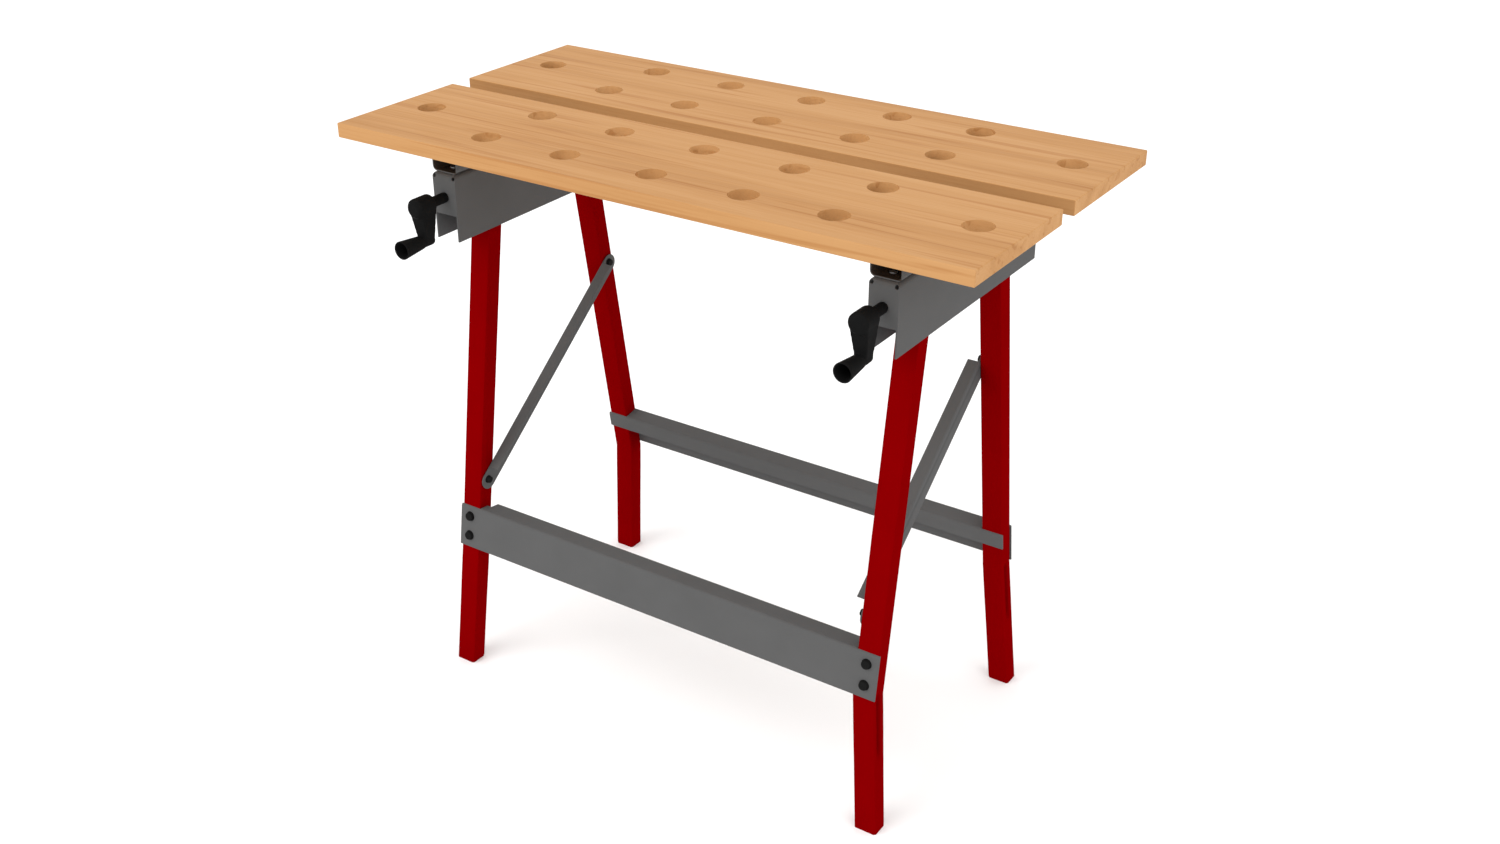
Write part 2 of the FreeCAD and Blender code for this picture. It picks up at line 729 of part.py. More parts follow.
def tube_leg(leg, side, sign):
    """A rectangular tube, bent once, hollow from its foot to its rounded top end."""
    label = f"{leg}_{side}_leg"
    body = new_body(label)
    loft(body, "Additive", leg_sections(body, leg, side, sign, "0", "0", "outer"), f"{label}_outside")
    crown = sketch_on(body, "YZ_Plane", f"{label}_crown")
    add_circle(crown, ("0", "0"), "leg_depth / 2")
    pad(body, crown, "leg_width", middle=True)
    inside = leg_sections(body, leg, side, sign, "leg_wall", "-leg_depth / 2", "inner")
    loft(body, "Subtractive", inside, f"{label}_inside")
    cross_holes = sketch_on(body, "YZ_Plane", f"{label}_cross_holes")
    add_circle(cross_holes, ("0", "0"), "pin_radius + running_fit")
    pocket(body, cross_holes, "leg_width", middle=True)
    brace_height = "brace_lower_z" if leg == "front" else "brace_upper_z"
    brace_hole = sketch_on(body, "YZ_Plane", f"{label}_brace_hole")
    add_circle(brace_hole, ("0", f"-{along_leg(leg, brace_height)}"), "pin_radius + running_fit")
    pocket(body, brace_hole, "leg_width / 2", reverse=sign < 0)
    member_holes = sketch_on(body, "XZ_Plane", f"{label}_member_holes")
    for step in (-1, 1):
        height = f"-{along_leg(leg, f'{leg}_member_z')} - member_bolt_drop + {step} * member_bolt_spacing / 2"
        add_circle(member_holes, ("0", height), "rivet_nut_radius")
    pocket(body, member_holes, "leg_depth / 2", reverse=leg == "front")
    place(body, f"{sign} * line_x", f"{leg}_pivot_y", f"{leg}_pivot_z", lean_of(leg))


def foot_plugs(leg):
    """Plastic plugs that close the open ends of a frame's two tubes, slanting with their walls."""
    members = []
    for side, sign in SIDES:
        outline = doc.addObject("Part::Plane", f"{leg}_{side}_plug_outline")
        width = "(leg_width - 2 * leg_wall - 2 * plug_gap)"
        depth = "(leg_depth - 2 * leg_wall - 2 * plug_gap)"
        bind(outline, Length=width, Width=depth)
        outline.Placement.Base = FreeCAD.Vector(-size_of(width) / 2, -size_of(depth) / 2, 0)
        plug = doc.addObject("Part::Extrusion", f"{leg}_{side}_plug")
        plug.Base = outline
        plug.DirMode = "Custom"
        slant_x = size_of(f"{sign} * (line_x - foot_x) / bend_height")
        slant_y = size_of(f"({leg_y(leg, 'bend_height')} - {leg}_foot_y) / bend_height")
        plug.Dir = FreeCAD.Vector(slant_x, slant_y, 1)
        plug.LengthFwd = size_of("plug_depth") * plug.Dir.Length
        plug.Solid = True
        members.append(place(plug, f"{sign} * foot_x", f"{leg}_foot_y", "0"))
    group(f"{leg}_foot_plugs", members)


# ---- cross members ----


def cross_member(leg):
    """A folded J section whose tall plate covers the outer faces of the two legs.

    The rear lip of the front one stops short of the legs, where the end of a brace swings past.
    """
    label = f"{leg}_cross_member"
    body = new_body(label)
    half = "(leg_depth / 2 + sheet)"
    reach = f"{leg}_member_reach"
    top = "member_height / 2"
    profile = sketch_on(body, "YZ_Plane", f"{label}_profile")
    add_polygon(
        profile,
        [
            (f"-{half}", f"-{top}"),
            (f"-{half}", top),
            (reach, top),
            (reach, f"{top} - member_lip"),
            (f"{reach} - sheet", f"{top} - member_lip"),
            (f"{reach} - sheet", f"{top} - sheet"),
            (f"-{half} + sheet", f"{top} - sheet"),
            (f"-{half} + sheet", f"-{top}"),
        ],
    )
    pad(body, profile, "member_length", middle=True)
    roof = size_of(top)
    under = size_of(f"{top} - sheet")

    def lengthwise_at(height):
        return lambda middle, along: close(abs(along.x), 1) and close(middle.z, height)

    round_edges(body, "member_bend", lengthwise_at(roof))
    round_edges(body, "member_bend - sheet", lengthwise_at(under))
    notches = sketch_on(body, "XY_Plane", f"{label}_notches")
    add_rectangle(notches, ("-member_length / 2", "-leg_depth / 2"), ("-member_notch", "leg_depth / 2"))
    add_rectangle(notches, ("member_notch", "-leg_depth / 2"), ("member_length / 2", "leg_depth / 2"))
    pocket(body, notches, "member_height / 2", reverse=True)
    if leg == "front":
        reliefs = sketch_on(body, "XY_Plane", f"{label}_brace_reliefs")
        end = "member_length / 2"
        add_rectangle(reliefs, (f"-{end}", "relief_from_middle"), ("-relief_start", reach))
        add_rectangle(reliefs, ("relief_start", "relief_from_middle"), (end, reach))
        pocket(body, reliefs, "member_height / 2", reverse=True)
    holes = sketch_on(body, "XZ_Plane", f"{label}_holes")
    for _, sign in SIDES:
        for step in (-1, 1):
            z = f"-member_bolt_drop + {step} * member_bolt_spacing / 2"
            add_circle(holes, (f"{sign} * line_x", z), "member_bolt_radius")
    pocket(body, holes, "leg_depth", reverse=True)
    turn = FreeCAD.Rotation() if leg == "front" else FreeCAD.Rotation(UPWARD, 180)
    on_leg_line(body, leg, "0", f"{leg}_member_z", turn)


def member_fasteners(leg):
    """Round-headed bolts through the tall plate into rivet nuts set in the legs."""
    outward = -1 if leg == "front" else 1
    turn = lean_of(leg)
    inward = turn.multVec(REARWARD * -outward)
    middle = FreeCAD.Vector(0, size_of(f"{leg}_pivot_y"), size_of(f"{leg}_pivot_z"))
    bolts = []
    nuts = []
    for side, sign in SIDES:
        for step in (-1, 1):
            name = f"{leg}_{side}_{step + 1}"
            down = f"{along_leg(leg, f'{leg}_member_z')} + member_bolt_drop"
            down = f"{down} - {step} * member_bolt_spacing / 2"
            on_axis = middle + turn.multVec(-UPWARD) * size_of(down)
            plate = on_axis - inward * size_of("leg_depth / 2 + sheet")
            bolt = headed(
                f"{name}_bolt",
                "member_bolt_radius",
                "sheet + rivet_nut_length",
                "member_head_radius",
                "member_head_length",
            )
            bolts.append(place(bolt, f"{sign} * line_x", str(plate.y), str(plate.z), pointing(inward)))
            nut = ring(f"{name}_nut", "rivet_nut_radius", "member_bolt_radius", "rivet_nut_length")
            face = on_axis - inward * size_of("leg_depth / 2")
            nuts.append(place(nut, f"{sign} * line_x", str(face.y), str(face.z), pointing(inward)))
    group(f"{leg}_member_bolts", bolts)
    group(f"{leg}_rivet_nuts", nuts)


for leg in ("front", "rear"):
    for side, sign in SIDES:
        tube_leg(leg, side, sign)
    foot_plugs(leg)
    cross_member(leg)
    member_fasteners(leg)
    pins = []
    for side, sign in SIDES:
        pin = cylinder(f"{leg}_{side}_pin", "pin_radius", "housing_width")
        x = f"{sign} * line_x - housing_width / 2"
        pins.append(place(pin, x, f"{leg}_pivot_y", f"{leg}_pivot_z", pointing(SIDEWAYS)))
    group(f"{leg}_leg_pivot_pins", pins)

washers = []
for leg in ("front", "rear"):
    for side, sign in SIDES:
        for face in (-1, 1):
            name = f"{leg}_{side}_washer_{face + 1}"
            washer = ring(name, "washer_radius", "pin_radius", "washer_thickness")
            x = f"{sign} * line_x + {face} * (housing_width / 2 - sheet)"
            washers.append(place(washer, x, f"{leg}_pivot_y", f"{leg}_pivot_z", pointing(SIDEWAYS * -face)))
group("leg_pivot_washers", washers)


# ---- braces ----


LOWER_Y = leg_y("front", "brace_lower_z")
UPPER_Y = leg_y("rear", "brace_upper_z")
BRACE_SPAN = f"sqrt(({UPPER_Y} - {LOWER_Y}) ^ 2 + (brace_upper_z - brace_lower_z) ^ 2)"
CLIMB = size_of("brace_upper_z - brace_lower_z")
BRACE_RISE = math.degrees(math.atan2(CLIMB, size_of(f"{UPPER_Y} - {LOWER_Y}")))


def brace(side, sign):
    """An angle section: an upright flange with round ends and a web along its upper edge.

    The middle of the flange lies brace_drop below the line through its two bolts.
    """
    body = new_body(f"{side}_brace")
    half = "brace_height / 2"
    upper = "(brace_height / 2 - brace_drop)"
    flange = sketch_on(body, "YZ_Plane", f"{side}_brace_flange")
    add_rectangle(flange, (f"-{half}", f"{upper} - brace_height"), (f"{BRACE_SPAN} + {half}", upper))
    pad(body, flange, "brace_thickness", reverse=sign > 0)
    round_edges(body, "brace_height / 2 - 0.1", lambda middle, along: close(abs(along.x), 1))
    web = sketch_on(body, "YZ_Plane", f"{side}_brace_web")
    web_foot = f"{upper} - brace_thickness"
    add_rectangle(web, ("brace_web_start", web_foot), (f"{BRACE_SPAN} - brace_web_back", upper))
    pad(body, web, "brace_web", reverse=sign > 0)
    top = size_of(upper)

    def bend_edge(middle, along):
        return close(middle.x, 0) and close(middle.z, top) and close(abs(along.y), 1)

    round_edges(body, "brace_bend", bend_edge)
    holes = sketch_on(body, "YZ_Plane", f"{side}_brace_holes")
    for y in ("0", BRACE_SPAN):
        add_circle(holes, (y, "0"), "pin_radius + running_fit")
    pocket(body, holes, "brace_web", reverse=sign < 0)
    rise = FreeCAD.Rotation(SIDEWAYS, BRACE_RISE)
    place(body, f"{sign} * brace_outer_x", LOWER_Y, "brace_lower_z", rise)


pivot_bolts = []
for side, sign in SIDES:
    brace(side, sign)
    outward = pointing(SIDEWAYS * sign)
    flange_inner_x = "(brace_outer_x - brace_thickness)"
    head = ("brace_head_radius", "brace_head_length")
    release = headed(f"{side}_brace_release_bolt", "pin_radius", "brace_thickness", *head)
    piece(release, f"{side}_brace_release_bolt")
    place(release, f"{sign} * {flange_inner_x}", LOWER_Y, "brace_lower_z", outward)
    grip = "brace_thickness + 2 * slide_gap + leg_wall + brace_bolt_reach"
    pivot = headed(f"{side}_brace_pivot_bolt", "pin_radius", grip, *head)
    pivot_x = f"{sign} * ({flange_inner_x} - slide_gap)"
    pivot_bolts.append(place(pivot, pivot_x, UPPER_Y, "brace_upper_z", outward))
group("brace_pivot_bolts", pivot_bolts)


# ---- check and write ----

doc.recompute()
for item in doc.Objects:
    if "Invalid" in item.State or "Error" in item.State:
        raise RuntimeError(f"{item.Name} did not recompute: {item.State}")
for item in pieces:
    if item.Shape.isNull() or not item.Shape.isValid():
        raise RuntimeError(f"{item.Label} has no valid shape")
os.makedirs("parts", exist_ok=True)
for item in pieces:
    item.Shape.exportStep(f"parts/{item.Label}.step")
print(f"{len(pieces)} parts")
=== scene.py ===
import json
import math

import bmesh
import bpy
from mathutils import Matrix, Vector


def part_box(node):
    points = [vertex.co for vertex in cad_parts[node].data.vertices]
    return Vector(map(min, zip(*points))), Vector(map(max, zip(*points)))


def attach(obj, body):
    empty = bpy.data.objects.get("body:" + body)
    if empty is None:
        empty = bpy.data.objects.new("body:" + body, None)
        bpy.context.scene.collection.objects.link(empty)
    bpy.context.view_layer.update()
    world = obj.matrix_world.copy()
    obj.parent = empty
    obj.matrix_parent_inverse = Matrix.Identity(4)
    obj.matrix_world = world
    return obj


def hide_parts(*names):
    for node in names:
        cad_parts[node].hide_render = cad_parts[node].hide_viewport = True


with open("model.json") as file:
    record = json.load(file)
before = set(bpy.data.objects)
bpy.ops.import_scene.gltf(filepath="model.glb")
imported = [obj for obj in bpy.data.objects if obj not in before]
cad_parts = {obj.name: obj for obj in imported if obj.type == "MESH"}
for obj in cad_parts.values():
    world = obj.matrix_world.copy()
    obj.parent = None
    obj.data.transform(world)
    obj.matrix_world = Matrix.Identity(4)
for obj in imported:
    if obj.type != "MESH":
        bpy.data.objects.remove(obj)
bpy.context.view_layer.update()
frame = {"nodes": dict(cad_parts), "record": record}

NODES = frame["nodes"]
SLOT_OF = {row["node"]: row["material_slot"] for row in frame["record"]["subparts"]}
BODY_OF = {name: body for body, names in frame["record"]["behaviour"]["bodies"].items() for name in names}
SIDES = (("left", -1), ("right", 1))
LINE_X = 0.3165
WELD_DISTANCE = 0.00001


# ---- node-tree helpers ----


def srgb(red, green, blue):
    """Linear colour of an 8-bit display colour."""
    linear = []
    for channel in (red, green, blue):
        share = channel / 255
        linear.append(share / 12.92 if share <= 0.04045 else ((share + 0.055) / 1.055) ** 2.4)
    return (*linear, 1.0)


def new_material(name, roughness, specular, metallic=0.0):
    made = bpy.data.materials.new(name)
    made.use_nodes = True
    shader = made.node_tree.nodes["Principled BSDF"]
    shader.inputs["Roughness"].default_value = roughness
    shader.inputs["Specular IOR Level"].default_value = specular
    shader.inputs["Metallic"].default_value = metallic
    return made, made.node_tree, shader


def feed(tree, socket, value):
    """Give an input a plain value, or link it to the socket that feeds it."""
    if isinstance(value, bpy.types.NodeSocket):
        tree.links.new(value, socket)
    else:
        socket.default_value = value


def add(tree, kind, **values):
    """A node whose inputs are given by name."""
    made = tree.nodes.new(kind)
    for name, value in values.items():
        feed(tree, made.inputs[name.replace("_", " ")], value)
    return made


def object_place(tree):
    return tree.nodes.new("ShaderNodeTexCoord").outputs["Object"]


def stretched(tree, scale):
    """Object coordinates, scaled differently along each axis."""
    return add(tree, "ShaderNodeMapping", Vector=object_place(tree), Scale=scale).outputs["Vector"]


def noise(tree, vector, scale, detail=2.0, roughness=0.5, distortion=0.0):
    made = add(
        tree,
        "ShaderNodeTexNoise",
        Vector=vector,
        Scale=scale,
        Detail=detail,
        Roughness=roughness,
        Distortion=distortion,
    )
    return made.outputs["Fac"]


def even_noise(tree, scale, detail=2.0, roughness=0.5):
    """Noise with the same scale along all three axes."""
    return noise(tree, stretched(tree, (1.0, 1.0, 1.0)), scale, detail, roughness)


def ramp(tree, factor, stops):
    """A colour ramp through (position, colour) stops."""
    made = add(tree, "ShaderNodeValToRGB", Fac=factor)
    elements = made.color_ramp.elements
    while len(elements) < len(stops):
        elements.new(0.5)
    for element, (position, colour) in zip(elements, stops):
        element.position = position
        element.color = colour
    return made.outputs["Color"]


def span(tree, factor, low, high, from_low=0.0, from_high=1.0):
    """A factor carried from one range to another."""
    made = tree.nodes.new("ShaderNodeMapRange")
    feed(tree, made.inputs["Value"], factor)
    made.inputs["From Min"].default_value = from_low
    made.inputs["From Max"].default_value = from_high
    made.inputs["To Min"].default_value = low
    made.inputs["To Max"].default_value = high
    return made.outputs["Result"]


def blended(tree, mode, factor, a, b):
    made = tree.nodes.new("ShaderNodeMix")
    made.data_type = "RGBA"
    made.blend_type = mode
    for index, value in ((0, factor), (6, a), (7, b)):
        feed(tree, made.inputs[index], value)
    return made.outputs[2]


def maths(tree, operation, *values):
    made = tree.nodes.new("ShaderNodeMath")
    made.operation = operation
    for socket, value in zip(made.inputs, values):
        feed(tree, socket, value)
    return made.outputs[0]


def within(tree, value, middle, reach):
    """1 where a value is nearer to the middle than the reach, else 0."""
    distance = maths(tree, "ABSOLUTE", maths(tree, "SUBTRACT", value, middle))
    return maths(tree, "LESS_THAN", distance, reach)


def bumped(tree, shader, height, distance, strength):
    bump = add(tree, "ShaderNodeBump", Height=height, Distance=distance, Strength=strength)
    tree.links.new(bump.outputs["Normal"], shader.inputs["Normal"])


# ---- materials ----

# The gap between the jaw boards, whose inner faces get painted shade in the wood.
GAP_CENTRE_Y = (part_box("front_jaw_board")[1].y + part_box("rear_jaw_board")[0].y) / 2
GAP_HALF_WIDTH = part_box("rear_jaw_board")[0].y - GAP_CENTRE_Y + 0.0004
# The hollow inside of each jaw carrier, which gets painted shade.
INSIDE_HALF_WIDTH = 0.0186
INSIDE_Z = (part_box("front_left_jaw_carrier")[0].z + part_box("front_left_jaw_carrier")[1].z) / 2
INSIDE_HALF_HEIGHT = INSIDE_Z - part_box("front_left_jaw_carrier")[0].z - 0.0016

WOOD_LIGHT, WOOD_MIDDLE, WOOD_DARK = srgb(188, 142, 94), srgb(183, 136, 87), srgb(175, 128, 80)
# The last tint darkens the board faces inside the gap between the boards: painted shade.
LINE_TINT, FIBRE_TINT, GAP_SHADE_TINT = srgb(226, 208, 186), srgb(226, 208, 188), srgb(226, 221, 214)
FIGURE_STRETCH, LINE_STRETCH, FIBRE_STRETCH = (1.1, 26.0, 26.0), (2.2, 95.0, 95.0), (9.0, 420.0, 420.0)
GREY, GREY_SHADE = srgb(88, 88, 88), srgb(85, 85, 85)
RED, RED_SHADE = srgb(122, 0, 2), srgb(118, 0, 2)
# Painted shade for the hollow inside of the jaw carriers.
INSIDE_SHADE, INSIDE_DEEP_SHADE = srgb(68, 60, 53), srgb(56, 49, 44)
ZINC, ZINC_SHADE = srgb(186, 187, 190), srgb(150, 150, 148)
PEEL_SCALE, COAT_CLOUD_SCALE, MOULDING_CLOUD_SCALE = 900.0, 14.0, 40.0
FINE_RELIEF, FIBRE_RELIEF = 0.0001, 0.0002


def wood():
    """Sealed board: a faint wavy figure along its length, thin darker lines, painted shade on the faces
    inside the gap between the boards.
    """
    made, tree, shader = new_material("sealed_wood", 0.6, 0.1)
    figure = noise(tree, stretched(tree, FIGURE_STRETCH), 1.0, 3.0, 0.5, 0.9)
    lines = noise(tree, stretched(tree, LINE_STRETCH), 1.0, 2.0, 0.45, 0.7)
    fibre = noise(tree, stretched(tree, FIBRE_STRETCH), 1.0, 3.0, 0.6)
    tone = ramp(tree, figure, [(0.32, WOOD_DARK), (0.47, WOOD_MIDDLE), (0.66, WOOD_LIGHT)])
    tone = blended(tree, "MULTIPLY", span(tree, lines, 0.0, 0.6, 0.58, 0.68), tone, LINE_TINT)
    tone = blended(tree, "MULTIPLY", span(tree, fibre, 0.0, 0.3, 0.5, 0.75), tone, FIBRE_TINT)
    depth = add(tree, "ShaderNodeSeparateXYZ", Vector=object_place(tree)).outputs["Y"]
    # Painted shade: the board faces inside the gap between the boards are darkened.
    gap_shade = within(tree, depth, GAP_CENTRE_Y, GAP_HALF_WIDTH)
    tone = blended(tree, "MULTIPLY", gap_shade, tone, GAP_SHADE_TINT)
    tree.links.new(tone, shader.inputs["Base Color"])
    tree.links.new(span(tree, fibre, 0.52, 0.68, 0.3, 0.7), shader.inputs["Roughness"])
    bumped(tree, shader, fibre, FIBRE_RELIEF, 0.3)
    return made


def painted_inside_shade(tree, cloud, coat):
    """The coat of a jaw carrier with painted shade over its hollow inside: a dark, dull steel colour."""
    spot = add(tree, "ShaderNodeSeparateXYZ", Vector=object_place(tree)).outputs
    across = within(tree, maths(tree, "ABSOLUTE", spot["X"]), LINE_X, INSIDE_HALF_WIDTH)
    upward = within(tree, maths(tree, "ABSOLUTE", spot["Z"]), INSIDE_Z, INSIDE_HALF_HEIGHT)
    painted_shade = ramp(tree, cloud, [(0.3, INSIDE_DEEP_SHADE), (0.7, INSIDE_SHADE)])
    return blended(tree, "MIX", maths(tree, "MULTIPLY", across, upward), coat, painted_shade)


def powder_coat(name, colour, shade, roughness, specular, change=None):
    """Powder coat: fine orange peel, faint clouding and slightly uneven gloss."""
    made, tree, shader = new_material(name, roughness, specular)
    peel = even_noise(tree, PEEL_SCALE)
    cloud = even_noise(tree, COAT_CLOUD_SCALE, 3.0, 0.6)
    tone = ramp(tree, cloud, [(0.3, shade), (0.65, colour)])
    # Jaw carriers: painted shade over the hollow inside.
    if change:
        tone = change(tree, cloud, tone)
    tree.links.new(tone, shader.inputs["Base Color"])
    tree.links.new(span(tree, cloud, roughness - 0.06, roughness + 0.08), shader.inputs["Roughness"])
    bumped(tree, shader, peel, FINE_RELIEF, 0.25)
    return made


def black_moulding(name, colour, shade, grain, roughness, specular):
    """Black plastic or oxide with a fine surface grain."""
    made, tree, shader = new_material(name, roughness, specular)
    stipple = even_noise(tree, grain)
    cloud = even_noise(tree, MOULDING_CLOUD_SCALE)
    tree.links.new(ramp(tree, cloud, [(0.35, shade), (0.65, colour)]), shader.inputs["Base Color"])
    tree.links.new(span(tree, stipple, roughness - 0.08, roughness + 0.08), shader.inputs["Roughness"])
    bumped(tree, shader, stipple, FINE_RELIEF, 0.3)
    return made


def zinc():
    """Zinc-plated steel with faint draw marks and a mottled passivated bloom."""
    made, tree, shader = new_material("zinc_plate", 0.38, 0.5, 0.9)
    marks = even_noise(tree, 260.0, 3.0, 0.6)
    bloom = even_noise(tree, 60.0, 3.0)
    tree.links.new(ramp(tree, bloom, [(0.35, ZINC_SHADE), (0.65, ZINC)]), shader.inputs["Base Color"])
    tree.links.new(span(tree, marks, 0.28, 0.5), shader.inputs["Roughness"])
    bumped(tree, shader, marks, FINE_RELIEF, 0.2)
    return made


FINISHES = {
    "beech_board": wood(),
    "grey_steel": powder_coat("grey_powder_coat", GREY, GREY_SHADE, 0.65, 0.03),
    "red_steel": powder_coat("red_powder_coat", RED, RED_SHADE, 0.7, 0.0),
    "black_plastic": black_moulding(
        "black_plastic_grain", srgb(21, 21, 21), srgb(18, 18, 18), 700.0, 0.65, 0.02
    ),
    "black_bolt": black_moulding("black_oxide", srgb(22, 22, 22), srgb(18, 18, 18), 1200.0, 0.55, 0.04),
    "zinc_steel": zinc(),
}
# Jaw carriers: grey coat with painted shade over their hollow inside.
CARRIER_COAT_AND_SHADE = powder_coat("grey_coat_dark_inside", GREY, GREY_SHADE, 0.65, 0.03, painted_inside_shade)


# ---- CAD nodes that stay: finish and softened edges ----

EDGE_WIDTH = {"beech_board": 0.0006, "black_bolt": 0.0014, "black_plastic": 0.0008}
PLAIN_EDGE_WIDTH = 0.0004
SHARPEST_KEPT_ANGLE = math.radians(38)


def soften(item, width):
    """Merge split corners and round sharp edges a little."""
    weld = item.modifiers.new("weld", "WELD")
    weld.merge_threshold = WELD_DISTANCE
    bevel = item.modifiers.new("edges", "BEVEL")
    bevel.width = width
    bevel.segments = 2
    bevel.limit_method = "ANGLE"
    bevel.angle_limit = SHARPEST_KEPT_ANGLE


for name, node in NODES.items():
    # Jaw carriers get the coat with painted shade inside.
    finish = CARRIER_COAT_AND_SHADE if name.endswith("_jaw_carrier") else FINISHES[SLOT_OF[name]]
    node.data.materials.clear()
    node.data.materials.append(finish)
    soften(node, EDGE_WIDTH.get(SLOT_OF[name], PLAIN_EDGE_WIDTH))


def stand_in(name, mesh, *nodes):
    """A new object that replaces CAD nodes, on their body and with their finish."""
    item = bpy.data.objects.new(name, mesh)
    bpy.context.scene.collection.objects.link(item)
    mesh.materials.clear()
    mesh.materials.append(FINISHES[SLOT_OF[nodes[0]]])
    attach(item, BODY_OF[nodes[0]])
    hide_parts(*nodes)
    return item


def smooth_by_angle(mesh, degrees):
    mesh.shade_smooth()
    mesh.set_sharp_from_angle(angle=math.radians(degrees))


def smoothstep(low, high, value):
    share = min(max((value - low) / (high - low), 0.0), 1.0)
    return share * share * (3 - 2 * share)


def hump(rise, fall, value):
    """0 before the rise and after the fall, 1 between them."""
    return smoothstep(*rise, value) * (1 - smoothstep(*fall, value))


# ---- legs: rectangular tube, crushed on its outer face where it bends ----

BEND_HEIGHT = 0.190
FOOT_X = 0.3331
CROWN_RADIUS = 0.012
LEVEL_TOLERANCE = 0.001
CUT_TOLERANCE = 0.00002

# The outer long edges of the tube: how they are told from the others, and their rounding.
CORNER_ANGLE, CORNER_LENGTH, CORNER_STEEPNESS = 1.0, 0.05, 0.9
CORNER_OUT, CORNER_ACROSS = 0.0145, 0.0110
CORNER_ROUNDING = 0.0018

# The stretch that is sliced, level and lengthwise, so that it can be crushed.
SLICE_LOW, SLICE_HIGH, SLICE_STEP = 0.075, 0.225, 0.005
BAND_LOW, BAND_HIGH = 0.07, 0.24
STRIP_MIDDLE, STRIP_LOW, STRIP_HIGH = 0.15, 0.11, 0.19
STRIP_EDGES = (-0.0085, -0.0062, -0.0045, -0.003, -0.0015, 0.0, 0.0015, 0.003, 0.0045, 0.0062, 0.0085)

# The groove in the outer face, and the swelling of the faces beside it.
OUTER_FACE, CRUSH_DEPTH, CRUSH_HALF_WIDTH = 0.0125, 0.0075, 0.0038
CRUSH_RISE, CRUSH_FALL = (0.098, 0.116), (0.184, 0.200)
SIDE_FACE, BELLY_REACH, BELLY_HALF_WIDTH = 0.0095, 0.0014, 0.0165
BELLY_RISE, BELLY_FALL = (0.085, 0.150), (0.150, 0.215)


def middle_y(verts):
    depths = [vert.co.y for vert in verts]
    return (min(depths) + max(depths)) / 2


def centre_line(shape, crown_z, sign):
    """A function that gives the x and y of a leg's centre line at a height."""
    foot_y = middle_y(v for v in shape.verts if v.co.z < LEVEL_TOLERANCE)
    bend_y = middle_y(v for v in shape.verts if abs(v.co.z - BEND_HEIGHT) < LEVEL_TOLERANCE)
    crown_y = middle_y(v for v in shape.verts if v.co.z > crown_z - CROWN_RADIUS)

    def middle(z):
        if z < BEND_HEIGHT:
            share = z / BEND_HEIGHT
            return sign * (FOOT_X + (LINE_X - FOOT_X) * share), foot_y + (bend_y - foot_y) * share
        share = (z - BEND_HEIGHT) / (crown_z - BEND_HEIGHT)
        return sign * LINE_X, bend_y + (crown_y - bend_y) * share

    return middle


def is_outer_corner(edge, middle):
    if len(edge.link_faces) != 2 or edge.calc_face_angle(0.0) < CORNER_ANGLE:
        return False
    a, b = edge.verts[0].co, edge.verts[1].co
    length = (a - b).length
    if length < CORNER_LENGTH or abs(a.z - b.z) < CORNER_STEEPNESS * length:
        return False
    spot = (a + b) / 2
    x, y = middle(spot.z)
    return abs(spot.x - x) > CORNER_OUT and abs(spot.y - y) > CORNER_ACROSS


def slice_bend(shape, middle):
    """Cut the bend into level slices and lengthwise strips."""
    height = SLICE_LOW
    while height < SLICE_HIGH:
        everything = list(shape.verts) + list(shape.edges) + list(shape.faces)
        bmesh.ops.bisect_plane(
            shape, geom=everything, plane_co=(0, 0, height), plane_no=(0, 0, 1), dist=CUT_TOLERANCE
        )
        height += SLICE_STEP
    y = middle(STRIP_MIDDLE)[1]
    slope = (middle(STRIP_HIGH)[1] - middle(STRIP_LOW)[1]) / (STRIP_HIGH - STRIP_LOW)
    for offset in STRIP_EDGES:
        faces = [f for f in shape.faces if BAND_LOW < f.calc_center_median().z < BAND_HIGH]
        edges = list(dict.fromkeys(e for f in faces for e in f.edges))
        verts = list(dict.fromkeys(v for f in faces for v in f.verts))
        bmesh.ops.bisect_plane(
            shape,
            geom=faces + edges + verts,
            plane_co=(0, y + offset, STRIP_MIDDLE),
            plane_no=(0, 1, -slope),
            dist=CUT_TOLERANCE,
        )


def crush_bend(shape, middle, sign):
    """Press a groove into the outer face and let the faces beside it swell."""
    for vert in shape.verts:
        z = vert.co.z
        if not SLICE_LOW < z < SLICE_HIGH:
            continue
        x, y = middle(z)
        out = (vert.co.x - x) * sign
        across = vert.co.y - y
        if out > OUTER_FACE:
            crush = hump(CRUSH_RISE, CRUSH_FALL, z)
            vert.co.x -= sign * CRUSH_DEPTH * crush * math.exp(-((across / CRUSH_HALF_WIDTH) ** 4))
        if abs(across) > SIDE_FACE:
            belly = hump(BELLY_RISE, BELLY_FALL, z)
            vert.co.y += math.copysign(BELLY_REACH * belly * (1 - (out / BELLY_HALF_WIDTH) ** 2), across)


def leg_mesh(node, sign):
    """The CAD tube with rounded long edges and a crushed bend."""
    crown_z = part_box(node.name)[1].z - CROWN_RADIUS
    mesh = node.data.copy()
    shape = bmesh.new()
    shape.from_mesh(mesh)
    bmesh.ops.remove_doubles(shape, verts=shape.verts, dist=WELD_DISTANCE)
    middle = centre_line(shape, crown_z, sign)
    bmesh.ops.bevel(
        shape,
        geom=[edge for edge in shape.edges if is_outer_corner(edge, middle)],
        offset=CORNER_ROUNDING,
        segments=3,
        profile=0.5,
        affect="EDGES",
        clamp_overlap=True,
    )
    slice_bend(shape, middle)
    crush_bend(shape, middle, sign)
    shape.to_mesh(mesh)
    shape.free()
    smooth_by_angle(mesh, 32)
    return mesh


for leg in ("front", "rear"):
    for side, sign in SIDES:
        name = f"{leg}_{side}_leg"
        stand_in(f"{name}_tube", leg_mesh(NODES[name], sign), name)


# ---- moulded crank arms ----

